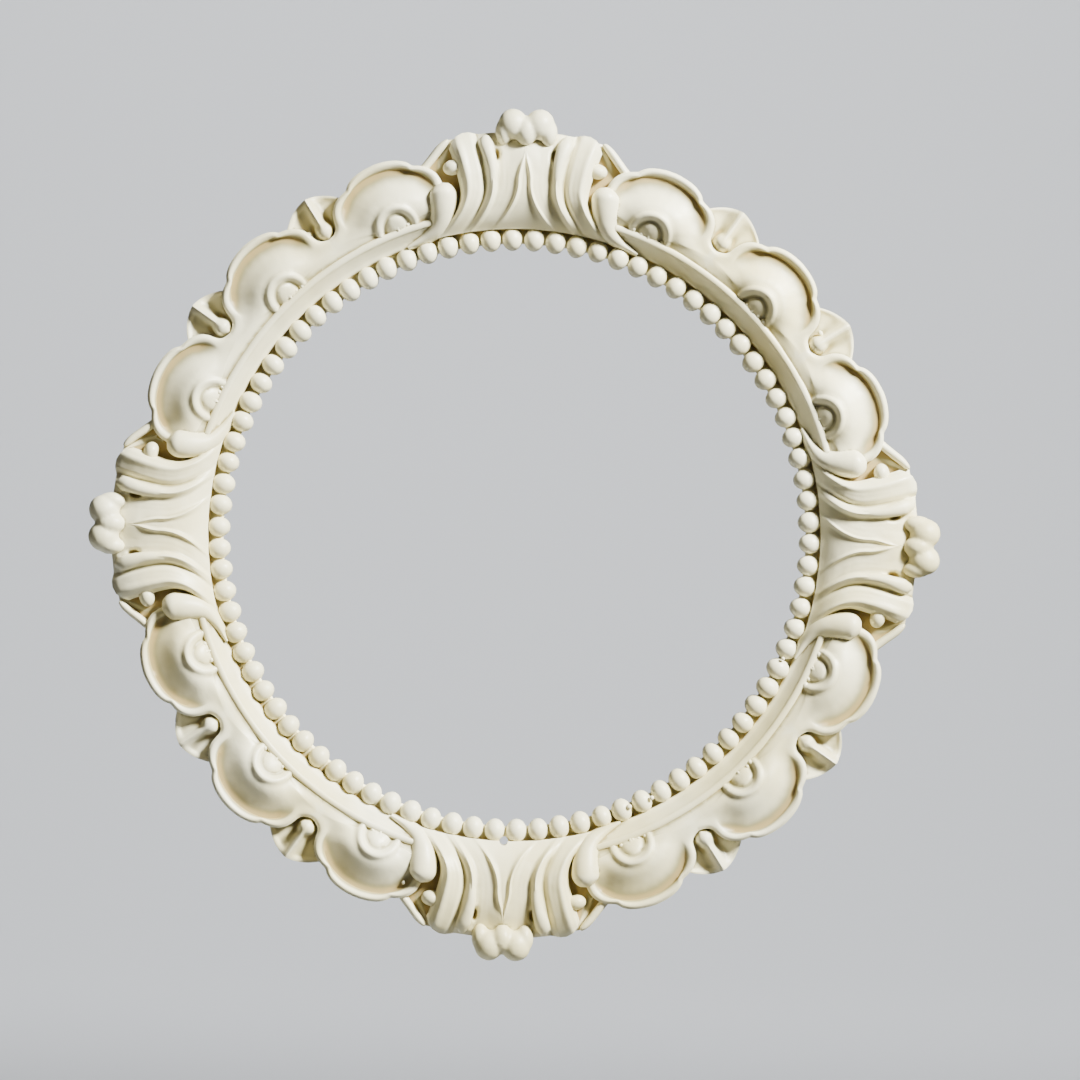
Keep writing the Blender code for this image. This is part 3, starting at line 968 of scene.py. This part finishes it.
# Casting flaws: crumbs at the foot of the eyes and nubs from air bubbles
flaws = {
    "perEye": 5,
    "apart": 2.5,
    "shift": 0.7,  # either way
    "crumbY": (0.0, 0.5),
    "crumbSize": (0.45, 0.8),
    "crumbHeight": (6.4, 6.9),
    "stretch": (0.7, 1.3),
    # angle, radius, height, size
    "nubs": (
        (155.4, 79.4, 4.9, 0.75),
        (150.7, 79.8, 5.0, 0.65),
        (113.0, 79.6, 4.8, 0.55),
        (324.0, 97.8, 5.6, 0.80),
        (54.9, 98.6, 5.7, 0.70),
        (196.0, 98.0, 7.4, 0.60),
        (199.0, 94.2, 7.8, 0.65),
    ),
}


def makeFlaws():
    chance = random.Random(5)
    spots = []
    for angle, radius, height, size in flaws["nubs"]:
        spots.append((angle, radius - ridgeLine, height, size))
    middles = [bay + side * lobeSpan for bay in bays for side in (-1, 0, 1)]
    for middle in middles:
        for i in range(flaws["perEye"]):
            across = (i - (flaws["perEye"] - 1) / 2) * flaws["apart"]
            across += chance.uniform(-flaws["shift"], flaws["shift"])
            size = chance.uniform(*flaws["crumbSize"])
            angle = middle + math.degrees(across / wrapRadius)
            y = chance.uniform(*flaws["crumbY"]) - ring["setBack"]
            spots.append((angle, y, chance.uniform(*flaws["crumbHeight"]), size))
    crumbs = []
    for angle, y, height, size in spots:
        deselectAll()
        bpy.ops.mesh.primitive_ico_sphere_add(subdivisions=2, radius=size)
        crumb = bpy.context.object
        stretch = chance.uniform(*flaws["stretch"])
        for vert in crumb.data.vertices:
            vert.co = (vert.co.x * stretch, y + vert.co.y, height + vert.co.z)
        wrap(crumb, angle)
        crumbs.append(crumb)
    gather("crumbs", crumbs)


makeFlaws()
print("flaws done")


# One casting
def boolean(piece, operation, other):
    step = piece.modifiers.new("join", "BOOLEAN")
    step.operation = operation
    step.solver = "MANIFOLD"
    if isinstance(other, bpy.types.Collection):
        step.operand_type = "COLLECTION"
        step.collection = other
    else:
        step.object = other
    pick(piece)
    bpy.ops.object.modifier_apply(modifier=step.name)


slabSize = 0.3
slabDepth = 0.004


# Takes off all that stands behind the back plane
def cutFlat(piece):
    deselectAll()
    bpy.ops.mesh.primitive_cube_add(size=1, location=(0, 0, 0))
    slab = bpy.context.object
    slab.data.transform(Matrix.Diagonal((slabSize, slabDepth, slabSize, 1)))
    slab.data.transform(Matrix.Translation((0, slabDepth / 2, 0)))
    boolean(piece, "DIFFERENCE", slab)
    bpy.data.objects.remove(slab)


# Slight unevenness all over, as from a soft mould; the flat back stays flat
uneven = {"wide": 0.10, "wideScale": 160, "fine": 0.035, "fineScale": 700, "from": 0.4}


def roughen(piece):
    mesh = piece.data
    co = coordinates(mesh)
    normals = vertexNormals(mesh)
    amount = np.zeros(len(co))
    for i, (x, y, z) in enumerate(co):
        if y < -uneven["from"] * mm:
            wide = noise.noise(Vector((x, y, z)) * uneven["wideScale"])
            fine = noise.noise(Vector((x, y, z)) * uneven["fineScale"])
            amount[i] = (wide * uneven["wide"] + fine * uneven["fine"]) * mm
    co += normals * amount[:, None]
    mesh.vertices.foreach_set("co", co.ravel())
    mesh.update()


# A small hole right through, between the beads and the bottom cartouche
pinhole = {"angle": 180.3, "radius": 1.15, "length": 60, "sides": 20}


def cutHole(piece):
    deselectAll()
    turn = math.radians(pinhole["angle"])
    bpy.ops.mesh.primitive_cylinder_add(
        vertices=pinhole["sides"], radius=pinhole["radius"] * mm, depth=pinhole["length"] * mm
    )
    rod = bpy.context.object
    rod.data.transform(Matrix.Rotation(math.radians(90), 4, "X"))
    away = bandInner * mm
    rod.data.transform(Matrix.Translation((away * math.sin(turn), 0, away * math.cos(turn))))
    boolean(piece, "DIFFERENCE", rod)
    bpy.data.objects.remove(rod)


boolean(casting, "UNION", ornaments)
for piece in list(ornaments.objects):
    bpy.data.objects.remove(piece)
cutFlat(casting)
cutHole(casting)
roughen(casting)
pick(casting)
sharpAngle = 42
bpy.ops.object.shade_smooth_by_angle(angle=math.radians(sharpAngle))
casting.data.calc_loop_triangles()
print("casting done:", len(casting.data.loop_triangles), "triangles")


# Materials
# A socket that takes part in sums
class Wire:

    def __init__(self, nodes, socket):
        self.nodes = nodes
        self.socket = socket

    def math(self, operation, *others):
        return self.nodes.add("ShaderNodeMath", {"operation": operation}, [self, *others])

    def __add__(self, other):
        return self.math("ADD", other)

    __radd__ = __add__

    def __sub__(self, other):
        return self.math("SUBTRACT", other)

    def __rsub__(self, other):
        return self.nodes.add("ShaderNodeMath", {"operation": "SUBTRACT"}, [other, self])

    def __mul__(self, other):
        return self.math("MULTIPLY", other)

    __rmul__ = __mul__


# The node tree of one material
class Nodes:

    def __init__(self, name):
        self.material = bpy.data.materials.new(name)
        self.material.use_nodes = True
        self.tree = self.material.node_tree
        self.shader = self.tree.nodes["Principled BSDF"]

    def add(self, kind, settings=None, values=(), output=0):
        node = self.tree.nodes.new(kind)
        for key, value in (settings or {}).items():
            setattr(node, key, value)
        pairs = values.items() if isinstance(values, dict) else enumerate(values)
        for key, value in pairs:
            self.put(node.inputs[key], value)
        return Wire(self, node.outputs[output])

    def put(self, socket, value):
        if isinstance(value, Wire):
            self.tree.links.new(value.socket, socket)
        else:
            socket.default_value = value

    def blend(self, share, first, second):
        sockets = {0: share, 6: first, 7: second}
        return self.add("ShaderNodeMix", {"data_type": "RGBA"}, sockets, 2)

    def ramp(self, value, low, high):
        return self.add(
            "ShaderNodeMapRange",
            {"interpolation_type": "SMOOTHSTEP"},
            {"Value": value, "From Min": low, "From Max": high},
        )

    def noise(self, where, scale, detail, rough=0.5):
        values = {"Vector": where, "Scale": scale, "Detail": detail, "Roughness": rough}
        return self.add("ShaderNodeTexNoise", {}, values)


resin = {
    "cream": (0.77, 0.68, 0.37, 1),
    "pale": (0.86, 0.805, 0.57, 1),
    # painted shade colours: ochre in the deepest hollows, olive in all hollows
    "shadeOchre": (0.50, 0.33, 0.11, 1),
    "shadeOlive": (0.25, 0.215, 0.085, 1),
    "roughness": 0.34,  # where it is smoothest
}


def creamResin():
    n = Nodes("creamResin")
    where = n.add("ShaderNodeTexCoord", output="Object")
    cavity = n.add("ShaderNodeAttribute", {"attribute_name": "cavity"}, output="Fac")
    edge = n.add("ShaderNodeAttribute", {"attribute_name": "edge"}, output="Fac")
    wide = n.noise(where, 22, 2)
    mottle = n.noise(where, 260, 4)
    fine = n.noise(where, 1500, 3, 0.6)
    colour = n.blend(n.ramp(wide, 0.35, 0.65), resin["cream"], resin["pale"])
    colour = n.blend(n.ramp(mottle, 0.45, 0.75) * 0.25, colour, resin["pale"])
    # painted shade: hollows are darkened towards olive
    colour = n.blend(n.ramp(cavity, 0.0, 0.75) * 0.85, colour, resin["shadeOlive"])
    # painted shade: the deepest hollows turn ochre, broken up by the mottle
    colour = n.blend(n.ramp(cavity + (mottle - 0.5) * 0.4, 0.5, 1.1) * 0.6, colour, resin["shadeOchre"])
    # painted highlight: sharp edges are lightened towards pale
    colour = n.blend(n.ramp(edge, 0.2, 1.0) * 0.5, colour, resin["pale"])
    n.put(n.shader.inputs["Base Color"], colour)
    rough = n.ramp(mottle + fine * 0.4, 0.3, 1.1) * 0.2 + resin["roughness"]
    n.put(n.shader.inputs["Roughness"], rough)
    height = mottle * 0.7 + fine * 0.3
    bump = {"Strength": 0.6, "Distance": 0.12 * mm, "Height": height}
    n.put(n.shader.inputs["Normal"], n.add("ShaderNodeBump", {}, bump))
    return n.material


# How hollow and how sharp each point is, from the mesh itself: hollows get painted shade, sharp
# edges a painted highlight
paintedShadeAndHighlight = {"wideRounds": 14, "nearRounds": 3, "deep": 0.45, "sharp": 0.12}


def markCavities(piece):
    mesh = piece.data
    co = coordinates(mesh)
    normals = vertexNormals(mesh)
    ends = np.zeros(len(mesh.edges) * 2, int)
    mesh.edges.foreach_get("vertices", ends)
    ends = ends.reshape(-1, 2)
    count = np.bincount(ends.ravel(), minlength=len(co))[:, None]

    def spread(values, times):
        for _ in range(times):
            total = np.zeros_like(values)
            np.add.at(total, ends[:, 0], values[ends[:, 1]])
            np.add.at(total, ends[:, 1], values[ends[:, 0]])
            values = 0.5 * values + 0.5 * total / count
        return values

    height = ((spread(co, paintedShadeAndHighlight["wideRounds"]) - co) * normals).sum(1) / mm
    near = ((spread(co, paintedShadeAndHighlight["nearRounds"]) - co) * normals).sum(1) / mm
    cavity = np.clip(spread(height[:, None], 1)[:, 0] / paintedShadeAndHighlight["deep"], 0, 1)
    edge = np.clip(-near / paintedShadeAndHighlight["sharp"], 0, 1)
    for name, values in (("cavity", cavity), ("edge", edge)):
        layer = mesh.attributes.new(name, "FLOAT", "POINT")
        layer.data.foreach_set("value", values.astype(np.float32))


markCavities(casting)
casting.data.materials.clear()
casting.data.materials.append(creamResin())
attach(casting, "root")
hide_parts("moulding_frame")
print("material done")


# Floor, lights and camera
stage = {
    "size": 8,
    "drop": 0.26,  # floor below the middle of the frame
    "wall": 2.6,  # distance behind it
    "wallHeight": 5,
    "bend": 0.8,
    "bendSteps": 16,
    "colour": (0.60, 0.62, 0.65, 1),
}


def makeStage():
    deselectAll()
    place = (0, stage["wall"] - stage["size"] / 2, -stage["drop"])
    bpy.ops.mesh.primitive_plane_add(size=stage["size"], location=place)
    floor = bpy.context.object
    floor.name = "floor"
    bpy.ops.object.mode_set(mode="EDIT")
    bpy.ops.mesh.select_mode(type="EDGE")
    bpy.ops.mesh.select_all(action="DESELECT")
    bpy.ops.object.mode_set(mode="OBJECT")
    for edge in floor.data.edges:
        edge.select = all(floor.data.vertices[i].co.y > 0 for i in edge.vertices)
    bpy.ops.object.mode_set(mode="EDIT")
    up = {"value": (0, 0, stage["wallHeight"])}
    bpy.ops.mesh.extrude_region_move(TRANSFORM_OT_translate=up)
    bpy.ops.object.mode_set(mode="OBJECT")
    bevel = floor.modifiers.new("sweep", "BEVEL")
    bevel.width = stage["bend"]
    bevel.segments = stage["bendSteps"]
    bpy.ops.object.modifier_apply(modifier="sweep")
    bpy.ops.object.shade_smooth()
    n = Nodes("palePaper")
    n.put(n.shader.inputs["Base Color"], stage["colour"])
    n.put(n.shader.inputs["Roughness"], 0.9)
    floor.data.materials.append(n.material)


makeStage()

lights = {
    # name: kind, place, aim, size, power, colour
    "key": ("SPOT", (0.80, -0.62, 0.72), (0, 0, 0), 0.13, 430, (0.98, 1.0, 0.965)),
    "fill": ("AREA", (-0.9, -1.3, 0.1), (0, 0, 0), 1.2, 0.7, (1.0, 0.95, 0.80)),
    "back": ("AREA", (0.5, 1.3, 0.9), (0, 0, 0), 0.8, 3, (1.0, 1.0, 1.0)),
    "wash": ("AREA", (0, 1.3, 1.4), (0, 2.9, 0.6), 1.6, 60, (1.0, 1.0, 1.0)),
}
beam = {"degrees": 20, "blend": 0.6}
room = {"colour": (1.0, 0.94, 0.76, 1), "strength": 0.06}


def makeLights():
    for name, (kind, place, aim, size, power, colour) in lights.items():
        deselectAll()
        bpy.ops.object.light_add(type=kind, location=place)
        lamp = bpy.context.object
        lamp.name = name
        lamp.data.energy = power
        lamp.data.color = colour
        if kind == "AREA":
            lamp.data.size = size
        else:
            lamp.data.shadow_soft_size = size
            lamp.data.spot_size = math.radians(beam["degrees"])
            lamp.data.spot_blend = beam["blend"]
        lamp.rotation_euler = (Vector(aim) - Vector(place)).to_track_quat("-Z", "Y").to_euler()
    world = bpy.data.worlds.new("softRoom")
    world.use_nodes = True
    world.node_tree.nodes["Background"].inputs[0].default_value = room["colour"]
    world.node_tree.nodes["Background"].inputs[1].default_value = room["strength"]
    bpy.context.scene.world = world


makeLights()

view = {
    "distance": 1.5,
    "span": 0.2916,
    "pixels": 1080,
    # where the frame's middle is off the picture's, in pixels
    "left": 25.7,
    "up": 4.2,
    "roll": 1.7,  # degrees
    "sensor": 36,
}


def makeCamera():
    deselectAll()
    perPixel = view["span"] / view["pixels"]
    x, z = view["left"] * perPixel, -view["up"] * perPixel
    turn = (math.radians(90), math.radians(-view["roll"]), 0)
    bpy.ops.object.camera_add(location=(x, -view["distance"], z), rotation=turn)
    camera = bpy.context.object
    camera.name = "camera"
    camera.data.sensor_width = view["sensor"]
    camera.data.lens = view["sensor"] * view["distance"] / view["span"]
    bpy.context.scene.camera = camera


makeCamera()
print("floor, lights and camera done")
